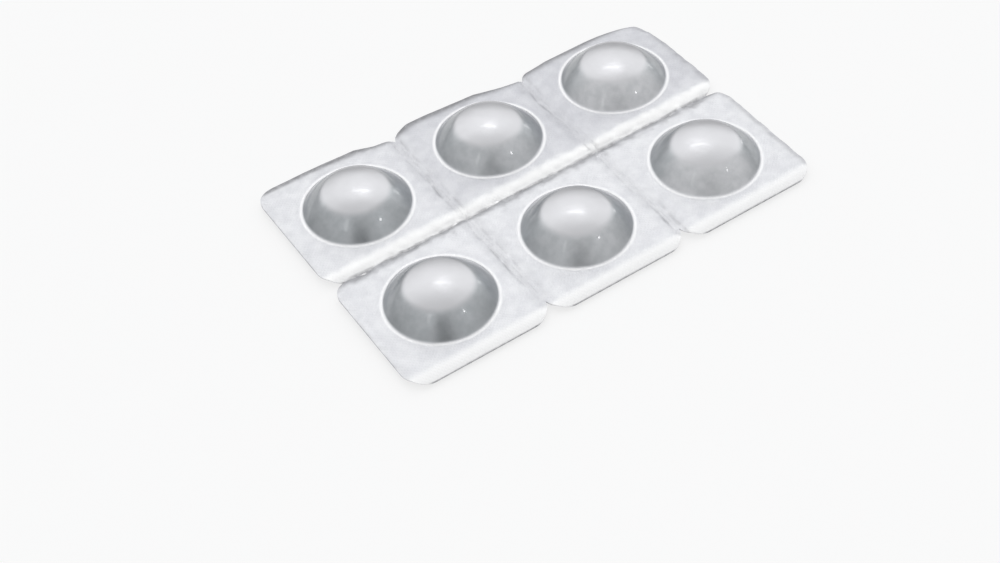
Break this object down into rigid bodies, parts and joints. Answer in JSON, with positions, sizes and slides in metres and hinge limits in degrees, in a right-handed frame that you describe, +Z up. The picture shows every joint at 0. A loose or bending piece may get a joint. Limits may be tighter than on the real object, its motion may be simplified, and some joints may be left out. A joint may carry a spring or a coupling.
{
  "type": "blister pack",
  "caption": "Sealed foil blister pack: round domed tablet pockets on a thin flange of square cells that join at perforated lines, with rounded corners and notched line ends.",
  "frame": {"origin": "under the middle of the pack, at the height of its lowest edge", "axes": "+X along the pack's long side, +Y across it, +Z up through the pockets"},
  "size_m": [0.06, 0.04, 0.005],
  "materials": {
    "foil": "satin cold-formed foil laminate with a clear glossy outer film"
  },
  "bodies": {
    "root": {"blister_pack": "foil"}
  },
  "joints": []
}
